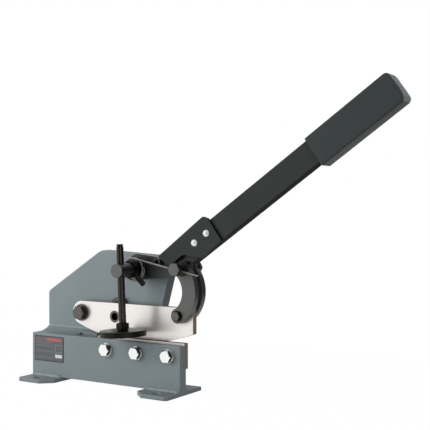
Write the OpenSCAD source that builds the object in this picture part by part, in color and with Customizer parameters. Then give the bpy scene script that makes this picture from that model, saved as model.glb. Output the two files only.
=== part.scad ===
// Bench lever shear with a welded plate frame, a compound lever and a hold-down.
// Lengths are in millimetres, +Z is up, and the front of the shear faces -Y.
// The modules use the front wall as their datum; placed() moves it to the bolt holes.

/* [Frame] */
// Length of the front wall and of the base
wall_len = 307; // [300:1:330]
// Thickness of the front wall
wall_t = 17; // [15:0.5:20]
// Height of the front wall's top above the bench
wall_top = 78; // [70:1:80]
// Thickness of the feet
foot_t = 6; // [4:0.5:10]
// Length of each foot along the wall
foot_len = 67; // [60:1:80]
// How far the feet reach in front of the wall
foot_front = 37; // [30:1:45]
// Distance of each bench bolt hole from the wall's end
foot_hole_x = 30.5; // [25:0.5:35]
// Distance from the wall's face to the bench bolt holes
foot_hole_y = 21; // [18:1:24]
// Diameter of the bench bolt holes
foot_hole_d = 13; // [9:0.5:15]
// Thickness of the back plate
plate_t = 20; // [14:1:24]
// Length of the bridge block at the left end
bridge_len = 84; // [70:1:90]

/* [Blades] */
// Length of the lower blade
lower_len = 172; // [165:1:180]
// Height of the lower blade
lower_h = 40; // [35:1:45]
// Thickness of both blades
blade_t = 10; // [8:0.5:12]
// Pitch of the three blade bolts
bolt_pitch = 61; // [50:1:65]
// Radius of the upper blade's curved cutting edge
edge_r = 320; // [300:5:360]
// Radius of the upper blade's heel
heel_r = 19.5; // [18:0.5:21]
// Diameter of the round bars that the side holes take
bar_d = 13; // [8:0.5:14]

/* [Linkage] */
// Radius of the lever arm's round end
hub_r = 21; // [20:0.5:23]
// Inner radius of the curved link plates
link_in_r = 34.6; // [32:0.2:38]
// Outer radius of the curved link plates
link_out_r = 59; // [56:0.5:62]
// Thickness of each link plate
link_t = 10; // [6:0.5:10]
// Diameter of the upper pivot bolt
upper_bolt_d = 12; // [10:0.5:14]
// Diameter of the lower pivot bolt
lower_bolt_d = 8; // [6:0.5:10]
// Diameter of the return spring's wire
wire_d = 3; // [2:0.1:3]

/* [Lever] */
// Angle of the lever above the bench in the photo
lever_deg = 35; // [35:1:35]
// Height of the lever's rectangular tube
tube_h = 37.1; // [34:0.1:40]
// Thickness of the lever's rectangular tube
tube_w = 20; // [18:0.5:22]
// Wall of the lever's rectangular tube
tube_wall = 2.5; // [2:0.1:2.5]
// Length of the grip
grip_len = 151; // [120:1:180]
// Thickness of the grip
grip_w = 30; // [26:1:34]
// Height of the grip
grip_h = 48.5; // [46:0.5:54]

/* [Hold-down] */
// Diameter of the hold-down bar
hold_bar_d = 22; // [18:0.5:23]
// Diameter of the threaded spindle
spindle_d = 12; // [8:0.5:13]
// Lean of the spindle towards the left
spindle_lean = 2.6; // [0:0.1:6]
// Diameter of the pad
pad_d = 74; // [60:1:78]
// Thickness of the pad
pad_t = 9; // [6:0.5:12]

/* [Hidden] */
// One node is drawn when its name is given here, and all of them otherwise

// Facets of round shapes; the flat counts of hexagons
round_fn = 64;
hex_fn = 6;

// Clearances: run_gap is radial in a running fit, face_gap is between moving faces
run_gap = 0.05;
face_gap = 0.3;
// Overrun of every cut past the face it opens
over = 1;

// Layers along Y: lower blade, upper blade and lever arm, rear link, back plate
low_y0 = 9.8;
low_y1 = low_y0 + blade_t;
up_y0 = low_y1 + face_gap;
up_y1 = up_y0 + blade_t;
rear_y0 = up_y1 + face_gap;
rear_y1 = rear_y0 + link_t;
link_y0 = low_y1 - link_t;
plate_gap = 10.6;
plate_y0 = rear_y0 + plate_gap;
plate_y1 = plate_y0 + plate_t;

// Bench holes
hole_x0 = foot_hole_x;

// Lower blade and its bolts
blade_over = 2;
low_x1 = wall_len + blade_over;
low_x0 = low_x1 - lower_len;
blade_rise = 3.5;
low_top = wall_top + blade_rise;
low_z0 = low_top - lower_h;
bolt_z = low_z0 + lower_h / 2;
bolt_inset = 24;
bolt_x0 = low_x1 - bolt_inset - 2 * bolt_pitch;
blade_bolt_d = 12;
blade_bolt_af = 18;
blade_bolt_head = 6.8;
spring_washer_t = 1.6;
spring_washer_d = 20;
flat_washer_t = 1.4;
flat_washer_d = 22;
wall_hole_d = 13;

// Pivots: o1 lever, o2 upper blade, p and q the upper and lower end of the link
o1_x = 211.5;
o1_z = 193.5;
o2_x = 93;
o2_z = 116;
crank_x = 93;
crank_z = 4;
link_dx = 8.8;
link_dz = 74;
p_x = o1_x + crank_x;
p_z = o1_z + crank_z;
q_x = p_x - link_dx;
q_z = p_z - link_dz;

// Upper blade
edge_deg = 68;
edge_x = o2_x + (edge_r - heel_r) * cos(edge_deg);
edge_z = o2_z + (edge_r - heel_r) * sin(edge_deg);
blade_tail = 22.6;
blade_x1 = q_x + blade_tail;
blade_top = o2_z + heel_r;
blade_low = 60;
heel_x = o2_x - heel_r * cos(edge_deg);
ring_x = 163.4;
ring_z = 113.2;
ring_d = 20;
bush_x = 161.9;
bush_z = 131;
bush_head_d = 27;
bush_body_d = 21;

// Blade pivot
bush_od = 18;
pivot_d = 14;
pivot_thread_d = 12;
pivot_af = 21;
pivot_head = 8.8;
pivot_washer_t = 2.3;
pivot_washer_d = 28;
pivot_spacer_d = 26;
pivot_nut_af = 19;
pivot_nut_t = 10.8;
rear_washer_t = 2.5;
rear_washer_d = 24;
thread_out = 3;

// Link plates, their eyes and bolts
link_back = 34.5;
link_drop = 36.5;
link_x = p_x - link_back;
link_z = p_z - link_drop;
link_reach = link_out_r + link_in_r;
link_p_deg = atan2(p_z - link_z, p_x - link_x);
link_q_deg = atan2(q_z - link_z, q_x - link_x);
p_eye_r = 12;
q_eye_r = 12;
slot_play = 7;
p_slot_d = upper_bolt_d + slot_play;
q_af = 13;
q_head = 5.3;
q_washer_t = 1.5;
q_washer_d = 17;
q_nut_t = 6.5;
p_af = 19;
p_head = 7.5;
p_head_y = -14;
p_neck_r = 6;
p_collar_t = 2.2;
p_collar_r = 11.5;
p_nut_t = 10.8;
p_washer_t = 2.2;
p_washer_d = 26;

// Lever, measured from p: x along the lever and z across it
arm_eye_r = 11;
hub_rise = 3.5;
hub_x = (o1_x - p_x) * cos(lever_deg) + (o1_z - p_z) * sin(lever_deg);
hub_z = (p_x - o1_x) * sin(lever_deg) + (o1_z - p_z) * cos(lever_deg);
end_x = hub_x + hub_rise * sin(lever_deg);
end_z = hub_z + hub_rise * cos(lever_deg);
low_tan = atan2(-end_z, -end_x) - acos((hub_r - arm_eye_r) / norm([end_x, end_z]));
tail_x0 = 10;
tail_x1 = 96;
tail_z0 = 3;
tail_z1 = 30.5;
top_x = -26;
top_z = 37;
top_tan = atan2(top_z - end_z, top_x - end_x) + acos(hub_r / norm([top_x - end_x, top_z - end_z]));
bracket_y0 = 10.1;
bracket_t = 5;
bracket_y1 = bracket_y0 + bracket_t;
lip_z0 = 38.5;
// Outline of the bracket's front flange, x and z from p
br_ul = [-27, 41.3];
br_ur = [77, 45.3];
br_rt = [83.5, 38];
br_rb = [84.5, -3.5];
br_lb = [42, -8];
br_na = [15.6, 15.8];
br_nb = [11, 17.5];
br_ll = [-20, 16.5];
boss_x = -35;
boss_z = 35.5;
boss_d = 14;
boss_bore = 7;
tube_y0 = bracket_y1;
tube_y1 = tube_y0 + tube_w;
tube_x0 = 16;
tube_z0 = -1.8;
tube_z1 = tube_z0 + tube_h;
grip_x0 = 283;
grip_x1 = grip_x0 + grip_len;
grip_cap_t = 6;
tube_x1 = grip_x1 - grip_cap_t;
grip_z0 = -10;
grip_z1 = grip_z0 + grip_h;
grip_mid = (tube_y0 + tube_y1) / 2;
grip_y0 = grip_mid - grip_w / 2;
grip_y1 = grip_mid + grip_w / 2;
grip_r = 7;
lev_bolt_d = 8;
lev_bolt_x0 = 42;
lev_bolt_x1 = 68.5;
lev_bolt_z = 20.3;
lev_head_d = 11.5;
lev_head_h = 4;
lev_nut_af = 13;
lev_nut_t = 6.5;
lev_out = 1.5;

// Fixed hub and the parts on it
hub_y0 = -4;
hub_od = 27;
journal_d = 24;
spigot_d = 20;
arm_bush_od = 30;
hub_bore_y1 = 14;
spacer_od = 36;
hub_washer_d = 37;
hub_washer_t = 3;
hub_nut_af = 30;
hub_nut_t = 16;
lock_y = 0.5;
lock_deg = -41;
lock_d = 6;
lock_head_d = 9;
lock_r0 = hold_bar_d / 2 + face_gap;
lock_r1 = 19;
lock_r2 = 34;

// Hold-down, measured from the lever pivot along the leaning spindle
hold_y0 = -36;
hold_y1 = 12;
spindle_y = -25;
spindle_top = 41.9;
spindle_neck_d = 10.5;
spindle_neck = 5;
pad_bottom = -102.7;
pad_top = pad_bottom + pad_t;
pad_boss_d = 17;
pad_boss_t = 1;
pad_seat = 4;
hold_nut_t = 10.2;
hold_nut_af = 19;

// Return spring, wound about o1
coil_r = 18;
coil_pitch = 5;
coil_turns = 1.75;
coil_end_y = 4.2;
arm_len = 130;
wire_drop = 2.3;
crank = norm([crank_x, crank_z]);
// The arm leaves the coil along the tangent that passes wire_drop below p
wire_deg = atan2(crank_z, crank_x) + acos((coil_r + wire_drop) / crank);
tail_len = wire_d;
ring_sides = 6;
loop_rings = 24;
coil_n = round(coil_turns * loop_rings);
arm_rings = 12;

// Data plate
label_x0 = 5;
label_x1 = 70;
label_z0 = 31;
label_z1 = 74;
label_t = 0.8;

// Helpers
module placed() {
    translate([-wall_len / 2, foot_hole_y, 0])
        children();
}

module slab(y0, y1) {
    translate([0, y1, 0])
        rotate([90, 0, 0])
            linear_extrude(height = y1 - y0)
                children();
}

module rod(x, z, r, y0, y1) {
    translate([x, y1, z])
        rotate([90, 0, 0])
            cylinder(r = r, h = y1 - y0, $fn = round_fn);
}

module hex_rod(x, z, af, y0, y1) {
    translate([x, y1, z])
        rotate([90, 0, 0])
            cylinder(r = af / sqrt(3), h = y1 - y0, $fn = hex_fn);
}

module washer(x, z, od, bore, y0, y1) {
    difference() {
        rod(x, z, od / 2, y0, y1);
        rod(x, z, bore / 2, y0 - over, y1 + over);
    }
}

module hex_nut(x, z, af, bore, y0, y1) {
    difference() {
        hex_rod(x, z, af, y0, y1);
        rod(x, z, bore / 2, y0 - over, y1 + over);
    }
}

module box(x0, x1, y0, y1, z0, z1) {
    translate([x0, y0, z0])
        cube([x1 - x0, y1 - y0, z1 - z0]);
}

module lever_frame() {
    translate([p_x, 0, p_z])
        rotate([0, -lever_deg, 0])
            children();
}

module hold_frame() {
    translate([o1_x, 0, o1_z])
        rotate([0, -spindle_lean, 0])
            children();
}

module disc(x, z, r) {
    translate([x, z])
        circle(r = r, $fn = round_fn);
}

// Frame
module front_wall() {
    color("#7c878b")
    placed()
        difference() {
            box(0, wall_len, 0, wall_t, foot_t, wall_top);
            box(low_x0, wall_len + over, low_y0, wall_t + over, low_z0, wall_top + over);
            for (i = [0 : 2])
                rod(bolt_x0 + i * bolt_pitch, bolt_z, wall_hole_d / 2, -over, wall_t + over);
        }
}

bridge_cut_r = 40;
rib_x1 = 118;
bridge_depth = plate_y0 - wall_t;
bridge_top = wall_top + bridge_cut_r - sqrt(bridge_cut_r * bridge_cut_r - bridge_depth * bridge_depth);

module bridge_block() {
    color("#7c878b")
    placed()
        difference() {
            union() {
                box(0, bridge_len, wall_t, plate_y0, foot_t, bridge_top);
                box(bridge_len, rib_x1, rear_y0, plate_y0, foot_t, bridge_top);
            }
            translate([-over, wall_t, wall_top + bridge_cut_r])
                rotate([0, 90, 0])
                    cylinder(r = bridge_cut_r, h = rib_x1 + 2 * over, $fn = round_fn);
        }
}

// Outline of the back plate
plate_left_z = 144;
plate_slant_a = [3.6, 148.7];
plate_slant_b = [107, 214];
plate_top_a = [113.5, 217.9];
plate_top_b = [122, 221];
plate_top_c = [266, 213.5];
plate_side_a = [244.7, 136.8];
plate_side_b = [228, 82];
plate_side_c = [222, 62];
plate_base_x = 275;
plate_base_z = 60;

module back_plate() {
    color("#8f9a9e")
    placed()
        difference() {
            slab(plate_y0, plate_y1)
                polygon([
                    [0, foot_t], [0, plate_left_z], plate_slant_a, plate_slant_b, plate_top_a,
                    plate_top_b, plate_top_c, plate_side_a, plate_side_b, plate_side_c,
                    [plate_base_x, plate_base_z], [plate_base_x, foot_t]
                ]);
            rod(o1_x, o1_z, spigot_d / 2 + run_gap, plate_y0 - over, plate_y1 + over);
            rod(o2_x, o2_z, pivot_thread_d / 2 + run_gap, plate_y0 - over, plate_y1 + over);
            rod(bush_x, bush_z, bush_body_d / 2, plate_y0 - over, plate_y1 + over);
        }
}

foot_cut_x = 19;
foot_cut_y = 17;
foot_corner = 4;

// Outline of a foot, from its outer end inwards
module foot_outline() {
    difference() {
        polygon([
            [0, plate_y1], [0, foot_corner - foot_front], [foot_corner, -foot_front],
            [foot_len - foot_cut_x, -foot_front], [foot_len, foot_cut_y - foot_front], [foot_len, plate_y1]
        ]);
        translate([hole_x0, -foot_hole_y])
            circle(r = foot_hole_d / 2, $fn = round_fn);
    }
}

module left_foot() {
    color("#6c787c")
    placed()
        linear_extrude(height = foot_t)
            foot_outline();
}

module right_foot() {
    color("#6c787c")
    placed()
        translate([wall_len, 0, 0])
            mirror([1, 0, 0])
                linear_extrude(height = foot_t)
                    foot_outline();
}

module data_plate() {
    color("#3b3d3f")
    placed()
        box(label_x0, label_x1, -label_t, 0, label_z0, label_z1);
}

// Lower blade
module lower_blade() {
    color("#cfccc8")
    placed()
        difference() {
            box(low_x0, low_x1, low_y0, low_y1, low_z0, low_top);
            for (i = [0 : 2])
                rod(bolt_x0 + i * bolt_pitch, bolt_z, blade_bolt_d / 2 + run_gap,
                    low_y0 - over, low_y1 + over);
        }
}

head_y1 = -flat_washer_t - spring_washer_t;

module lower_blade_bolts() {
    color("#dfe1e2")
    placed()
        for (i = [0 : 2]) {
            hex_rod(bolt_x0 + i * bolt_pitch, bolt_z, blade_bolt_af, head_y1 - blade_bolt_head, head_y1);
            rod(bolt_x0 + i * bolt_pitch, bolt_z, blade_bolt_d / 2, head_y1 - over, low_y1 - over);
        }
}

module lower_blade_spring_washers() {
    color("#c9cccd")
    placed()
        for (i = [0 : 2])
            washer(bolt_x0 + i * bolt_pitch, bolt_z, spring_washer_d, wall_hole_d, head_y1, -flat_washer_t);
}

module lower_blade_washers() {
    color("#c9cccd")
    placed()
        for (i = [0 : 2])
            washer(bolt_x0 + i * bolt_pitch, bolt_z, flat_washer_d, wall_hole_d, -flat_washer_t, 0);
}

// Upper blade
module blade_outline() {
    disc(o2_x, o2_z, heel_r);
    intersection() {
        translate([edge_x, edge_z])
            circle(r = edge_r, $fn = 4 * round_fn);
        polygon([
            [o2_x, blade_top], [blade_x1, blade_top], [blade_x1, blade_low],
            [heel_x, blade_low], [heel_x, o2_z], [o2_x, o2_z]
        ]);
    }
}

module upper_blade() {
    color("#d8d5d1")
    placed()
        difference() {
            slab(up_y0, up_y1)
                blade_outline();
            rod(o2_x, o2_z, bush_od / 2, up_y0 - over, up_y1 + over);
            rod(ring_x, ring_z, ring_d / 2, up_y0 - over, up_y1 + over);
            rod(q_x, q_z, lower_bolt_d / 2 + run_gap, up_y0 - over, up_y1 + over);
        }
}

module blade_bush() {
    color("#8a6a48")
    placed()
        washer(o2_x, o2_z, bush_od, pivot_d + 2 * run_gap, up_y0, up_y1);
}

module bar_ring() {
    color("#5a4238")
    placed()
        washer(ring_x, ring_z, ring_d, bar_d, up_y0, up_y1);
}

module bar_bush() {
    color("#56585a")
    placed()
        difference() {
            union() {
                rod(bush_x, bush_z, bush_head_d / 2, rear_y0, plate_y0);
                rod(bush_x, bush_z, bush_body_d / 2, plate_y0 - over, plate_y1);
            }
            rod(bush_x, bush_z, bar_d / 2, rear_y0 - over, plate_y1 + over);
        }
}

// Blade pivot
pivot_washer_y0 = low_y1 - pivot_washer_t;
pivot_nut_y0 = plate_y1 + rear_washer_t;

module blade_pivot_bolt() {
    color("#2c2d2e")
    placed() {
        hex_rod(o2_x, o2_z, pivot_af, pivot_washer_y0 - pivot_head, pivot_washer_y0);
        rod(o2_x, o2_z, pivot_d / 2, pivot_washer_y0 - over, plate_y0);
        rod(o2_x, o2_z, pivot_thread_d / 2, plate_y0 - over, pivot_nut_y0 + pivot_nut_t + thread_out);
    }
}

module blade_front_washer() {
    color("#2c2d2e")
    placed()
        washer(o2_x, o2_z, pivot_washer_d, pivot_d + 2 * run_gap, pivot_washer_y0, low_y1);
}

module blade_pivot_spacer() {
    color("#4a4c4e")
    placed()
        washer(o2_x, o2_z, pivot_spacer_d, pivot_d + 2 * run_gap, rear_y0, plate_y0);
}

module blade_rear_washer() {
    color("#c9cccd")
    placed()
        washer(o2_x, o2_z, rear_washer_d, pivot_thread_d + 2 * run_gap, plate_y1, pivot_nut_y0);
}

module blade_pivot_nut() {
    color("#c9cccd")
    placed()
        hex_nut(o2_x, o2_z, pivot_nut_af, pivot_thread_d + 2 * run_gap,
            pivot_nut_y0, pivot_nut_y0 + pivot_nut_t);
}

// Link plates
module link_outline() {
    intersection() {
        difference() {
            disc(link_x, link_z, link_out_r);
            disc(link_x, link_z, link_in_r);
        }
        polygon([
            [link_x, link_z],
            [link_x + link_reach * cos(link_q_deg), link_z + link_reach * sin(link_q_deg)],
            [link_x + link_reach, link_z - link_reach / 2],
            [link_x + link_reach, link_z + link_reach / 2],
            [link_x + link_reach * cos(link_p_deg), link_z + link_reach * sin(link_p_deg)]
        ]);
    }
    disc(p_x, p_z, p_eye_r);
    disc(q_x, q_z, q_eye_r);
}

module link_plate(y0) {
    difference() {
        slab(y0, y0 + link_t)
            link_outline();
        rod(p_x, p_z, p_slot_d / 2, y0 - over, y0 + link_t + over);
        rod(q_x, q_z, lower_bolt_d / 2 + run_gap, y0 - over, y0 + link_t + over);
    }
}

module link_front_plate() {
    color("#5c5c5a")
    placed()
        link_plate(link_y0);
}

module link_rear_plate() {
    color("#4c4d4c")
    placed()
        link_plate(rear_y0);
}

q_washer_y0 = link_y0 - q_washer_t;
q_nut_y0 = rear_y1 + q_washer_t;

module link_lower_bolt() {
    color("#2f3132")
    placed() {
        hex_rod(q_x, q_z, q_af, q_washer_y0 - q_head, q_washer_y0);
        rod(q_x, q_z, lower_bolt_d / 2, q_washer_y0 - over, q_nut_y0 + q_nut_t + over);
    }
}

module link_lower_washers() {
    color("#2f3132")
    placed() {
        washer(q_x, q_z, q_washer_d, lower_bolt_d + 2 * run_gap, q_washer_y0, link_y0);
        washer(q_x, q_z, q_washer_d, lower_bolt_d + 2 * run_gap, rear_y1, q_nut_y0);
    }
}

module link_lower_nut() {
    color("#2f3132")
    placed()
        hex_nut(q_x, q_z, q_af, lower_bolt_d + 2 * run_gap, q_nut_y0, q_nut_y0 + q_nut_t);
}

p_collar_y1 = link_y0 - face_gap;
p_washer_y0 = rear_y1 + face_gap;
p_nut_y0 = p_washer_y0 + p_washer_t;

module link_upper_bolt() {
    color("#3a3b3a")
    placed()
        difference() {
            union() {
                hex_rod(p_x, p_z, p_af, p_head_y, p_head_y + p_head);
                rod(p_x, p_z, p_neck_r, p_head_y + p_head - over, p_collar_y1);
                rod(p_x, p_z, p_collar_r, p_collar_y1 - p_collar_t, p_collar_y1);
                rod(p_x, p_z, upper_bolt_d / 2, p_collar_y1 - over, p_nut_y0 + p_nut_t + over);
            }
            wire_bore();
        }
}

module link_upper_washer() {
    color("#2f3132")
    placed()
        washer(p_x, p_z, p_washer_d, upper_bolt_d + 2 * run_gap, p_washer_y0, p_nut_y0);
}

module link_upper_nut() {
    color("#2f3132")
    placed()
        hex_nut(p_x, p_z, p_af, upper_bolt_d + 2 * run_gap, p_nut_y0, p_nut_y0 + p_nut_t);
}

// Lever
module arm_outline() {
    disc(end_x, end_z, hub_r);
    disc(0, 0, arm_eye_r);
    polygon([
        [end_x + hub_r * cos(top_tan), end_z + hub_r * sin(top_tan)],
        [end_x, end_z],
        [end_x + hub_r * cos(low_tan), end_z + hub_r * sin(low_tan)],
        [arm_eye_r * cos(low_tan), arm_eye_r * sin(low_tan)],
        [0, 0], [0, tail_z0], [tail_x1, tail_z0], [tail_x1, tail_z1], [tail_x0, tail_z1],
        [top_x, top_z]
    ]);
}

module lever_holes(y0, y1, r) {
    rod(lev_bolt_x0, lev_bolt_z, r, y0, y1);
    rod(lev_bolt_x1, lev_bolt_z, r, y0, y1);
}

module lever_arm() {
    color("#3a3d3d")
    placed()
        lever_frame()
            difference() {
                slab(up_y0, up_y1)
                    arm_outline();
                rod(hub_x, hub_z, arm_bush_od / 2, up_y0 - over, up_y1 + over);
                rod(0, 0, upper_bolt_d / 2 + run_gap, up_y0 - over, up_y1 + over);
                lever_holes(up_y0 - over, up_y1 + over, lev_bolt_d / 2 + run_gap);
            }
}

module arm_bush() {
    color("#8a6a48")
    placed()
        washer(o1_x, o1_z, arm_bush_od, journal_d + 2 * run_gap, up_y0, up_y1);
}

module lever_boss() {
    color("#3a3d3d")
    placed()
        lever_frame()
            washer(boss_x, boss_z, boss_d, boss_bore, bracket_y0, up_y0);
}

module lever_bracket() {
    color("#3f4241")
    placed()
        lever_frame()
            difference() {
                union() {
                    slab(bracket_y0, bracket_y1)
                        polygon([br_ul, br_ur, br_rt, br_rb, br_lb, br_na, br_nb, br_ll]);
                    slab(bracket_y1 - over, up_y0)
                        polygon([br_ul, br_ur, [br_ur[0], lip_z0], [br_ul[0], lip_z0 - face_gap]]);
                }
                lever_holes(bracket_y0 - over, bracket_y1 + over, lev_bolt_d / 2 + run_gap);
            }
}

module lever_bar() {
    color("#383b3b")
    placed()
        lever_frame()
            difference() {
                box(tube_x0, tube_x1, tube_y0, tube_y1, tube_z0, tube_z1);
                box(
                    tube_x0 - over, tube_x1 + over, tube_y0 + tube_wall, tube_y1 - tube_wall,
                    tube_z0 + tube_wall, tube_z1 - tube_wall
                );
                lever_holes(tube_y0 - over, tube_y1 + over, lev_bolt_d / 2 + run_gap);
            }
}

module lever_grip() {
    color("#454b4b")
    placed()
        lever_frame()
            difference() {
                slab(grip_y0, grip_y1)
                    union() {
                        translate([grip_x0, grip_z0])
                            square([grip_len - grip_r, grip_h]);
                        translate([grip_x0, grip_z0 + grip_r])
                            square([grip_len, grip_h - 2 * grip_r]);
                        disc(grip_x1 - grip_r, grip_z0 + grip_r, grip_r);
                        disc(grip_x1 - grip_r, grip_z1 - grip_r, grip_r);
                    }
                box(grip_x0 - over, tube_x1, tube_y0, tube_y1, tube_z0, tube_z1);
            }
}

dome_r = (lev_head_d * lev_head_d / 4 + lev_head_h * lev_head_h) / (2 * lev_head_h);

module dome_bolt(u) {
    intersection() {
        translate([u, bracket_y0 - lev_head_h + dome_r, lev_bolt_z])
            sphere(r = dome_r, $fn = round_fn);
        rod(u, lev_bolt_z, lev_head_d / 2, bracket_y0 - lev_head_h, bracket_y0);
    }
    rod(u, lev_bolt_z, lev_bolt_d / 2, bracket_y0 - over, tube_y1 + lev_nut_t + lev_out);
}

module lever_bolts() {
    color("#e2e4e5")
    placed()
        lever_frame() {
            dome_bolt(lev_bolt_x0);
            dome_bolt(lev_bolt_x1);
        }
}

module lever_nuts() {
    color("#c9cccd")
    placed()
        lever_frame() {
            hex_nut(lev_bolt_x0, lev_bolt_z, lev_nut_af, lev_bolt_d + 2 * run_gap,
                tube_y1, tube_y1 + lev_nut_t);
            hex_nut(lev_bolt_x1, lev_bolt_z, lev_nut_af, lev_bolt_d + 2 * run_gap,
                tube_y1, tube_y1 + lev_nut_t);
        }
}

// Return spring: one tube along the coil's path and its straight arm
coil_slope = -coil_pitch / (2 * PI * coil_r);
slope_len = sqrt(1 + coil_slope * coil_slope);

function coil_deg(k) = wire_deg + 360 * coil_turns * (1 - k / coil_n);
function coil_at(k) = [
    coil_r * cos(coil_deg(k)),
    coil_end_y + coil_pitch * coil_turns * (1 - k / coil_n),
    coil_r * sin(coil_deg(k))
];
function coil_dir(a) = [sin(a), coil_slope, -cos(a)] / slope_len;

path = concat(
    [coil_at(0) - coil_dir(coil_deg(0)) * tail_len],
    [for (k = [0 : coil_n]) coil_at(k)],
    [for (k = [1 : arm_rings]) coil_at(coil_n) + coil_dir(wire_deg) * arm_len * k / arm_rings]
);
dirs = concat(
    [coil_dir(coil_deg(0))],
    [for (k = [0 : coil_n]) coil_dir(coil_deg(k))],
    [for (k = [1 : arm_rings]) coil_dir(wire_deg)]
);
path_n = len(path);

// Radial axis of a ring: across the wire, in the plane of the coil
function side_dir(i) = [dirs[i][2], 0, -dirs[i][0]] / norm([dirs[i][2], 0, -dirs[i][0]]);
function ring_at(i) = [
    for (s = [0 : ring_sides - 1])
        path[i]
            + side_dir(i) * cos(360 * s / ring_sides) * wire_d / 2
            + cross(dirs[i], side_dir(i)) * sin(360 * s / ring_sides) * wire_d / 2
];
tube_points = concat(
    [path[0]],
    [for (i = [0 : path_n - 1]) for (q = ring_at(i)) q],
    [path[path_n - 1]]
);
last_ring = (path_n - 1) * ring_sides;
tube_faces = concat(
    [for (s = [0 : ring_sides - 1]) [0, 1 + s, 1 + (s + 1) % ring_sides]],
    [for (i = [0 : path_n - 2]) for (s = [0 : ring_sides - 1])
        [1 + i * ring_sides + s, 1 + (i + 1) * ring_sides + s, 1 + i * ring_sides + (s + 1) % ring_sides]],
    [for (i = [0 : path_n - 2]) for (s = [0 : ring_sides - 1])
        [1 + i * ring_sides + (s + 1) % ring_sides, 1 + (i + 1) * ring_sides + s,
            1 + (i + 1) * ring_sides + (s + 1) % ring_sides]],
    [for (s = [0 : ring_sides - 1])
        [path_n * ring_sides + 1, 1 + last_ring + (s + 1) % ring_sides, 1 + last_ring + s]]
);

// Least gap of the wire to itself: points more than a third of a loop apart
apart = 8;
gaps = [
    for (i = [0 : path_n - 1]) for (j = [i + apart : 1 : path_n - 1]) norm(path[i] - path[j]) - wire_d
];
echo(least_gap_of_the_wire = min(gaps));

module return_spring() {
    color("#8d8f90")
    placed()
        translate([o1_x, 0, o1_z])
            polyhedron(points = tube_points, faces = tube_faces);
}

wire_bore_gap = 0.4;
wire_out = 40;
// Along the arm, half the hole's length before the point nearest to p
wire_in = sqrt(crank * crank - (coil_r + wire_drop) * (coil_r + wire_drop)) - wire_out / 2;

// Hole in the upper bolt's neck for the spring's arm
module wire_bore() {
    start = coil_at(coil_n) + coil_dir(wire_deg) * wire_in;
    translate([o1_x, 0, o1_z])
        translate(start)
            rotate([0, 90 + 90 - wire_deg, 0])
                rotate([asin(-coil_slope / slope_len), 0, 0])
                    cylinder(r = wire_d / 2 + wire_bore_gap, h = wire_out, $fn = round_fn);
}

// Fixed hub
module pivot_hub() {
    color("#2b2c2d")
    placed()
        difference() {
            union() {
                rod(o1_x, o1_z, hub_od / 2, hub_y0, low_y1);
                rod(o1_x, o1_z, journal_d / 2, low_y1 - over, plate_y0);
                rod(o1_x, o1_z, spigot_d / 2, plate_y0 - over,
                    plate_y1 + hub_washer_t + hub_nut_t + thread_out);
            }
            rod(o1_x, o1_z, hold_bar_d / 2 + run_gap, hub_y0 - over, hub_bore_y1);
            translate([o1_x, lock_y, o1_z])
                rotate([0, 90 - lock_deg, 0])
                    cylinder(r = lock_d / 2 + run_gap, h = lock_r2, $fn = round_fn);
        }
}

module hub_spacer() {
    color("#4a4c4e")
    placed()
        washer(o1_x, o1_z, spacer_od, journal_d + 2 * run_gap, rear_y0, plate_y0);
}

module hub_washer() {
    color("#c9cccd")
    placed()
        washer(o1_x, o1_z, hub_washer_d, spigot_d + 2 * run_gap, plate_y1, plate_y1 + hub_washer_t);
}

module hub_nut() {
    color("#c9cccd")
    placed()
        hex_nut(
            o1_x, o1_z, hub_nut_af, spigot_d + 2 * run_gap,
            plate_y1 + hub_washer_t, plate_y1 + hub_washer_t + hub_nut_t
        );
}

lock_socket = 5;
lock_socket_d = 6;

module lock_screw() {
    color("#1f2021")
    placed()
        translate([o1_x, lock_y, o1_z])
            rotate([0, 90 - lock_deg, 0])
                difference() {
                    union() {
                        translate([0, 0, lock_r0])
                            cylinder(r = lock_d / 2, h = lock_r1 - lock_r0 + over, $fn = round_fn);
                        translate([0, 0, lock_r1])
                            cylinder(r = lock_head_d / 2, h = lock_r2 - lock_r1, $fn = round_fn);
                    }
                    translate([0, 0, lock_r2 - lock_socket])
                        cylinder(r = lock_socket_d / 2, h = lock_socket + over, $fn = hex_fn);
                }
}

// Hold-down
module hold_down_bar() {
    color("#2b2c2d")
    placed()
        hold_frame()
            difference() {
                rod(0, 0, hold_bar_d / 2, hold_y0, hold_y1);
                translate([0, spindle_y, -hold_bar_d])
                    cylinder(r = spindle_d / 2 + run_gap, h = 2 * hold_bar_d, $fn = round_fn);
            }
}

module hold_down_spindle() {
    color("#3a3532")
    placed()
        hold_frame()
            translate([0, spindle_y, 0]) {
                translate([0, 0, pad_top - pad_seat])
                    cylinder(r = spindle_d / 2, h = spindle_top - spindle_neck - pad_top + pad_seat,
                        $fn = round_fn);
                translate([0, 0, spindle_top - spindle_neck - over])
                    cylinder(r = spindle_neck_d / 2, h = spindle_neck + over, $fn = round_fn);
            }
}

nut_z0 = pad_top + pad_boss_t + face_gap;

module hold_down_nut() {
    color("#2b2c2d")
    placed()
        hold_frame()
            translate([0, spindle_y, nut_z0])
                difference() {
                    cylinder(r = hold_nut_af / sqrt(3), h = hold_nut_t, $fn = hex_fn);
                    translate([0, 0, -over])
                        cylinder(r = spindle_d / 2 + run_gap, h = hold_nut_t + 2 * over, $fn = round_fn);
                }
}

module hold_down_pad() {
    color("#343636")
    placed()
        hold_frame()
            translate([0, spindle_y, 0])
                difference() {
                    union() {
                        translate([0, 0, pad_bottom])
                            cylinder(r = pad_d / 2, h = pad_t, $fn = round_fn);
                        translate([0, 0, pad_top - over])
                            cylinder(r = pad_boss_d / 2, h = pad_boss_t + over, $fn = round_fn);
                    }
                    translate([0, 0, pad_top - pad_seat - face_gap])
                        cylinder(r = spindle_d / 2 + run_gap, h = pad_seat + face_gap + pad_boss_t + over,
                            $fn = round_fn);
                }
}

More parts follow.
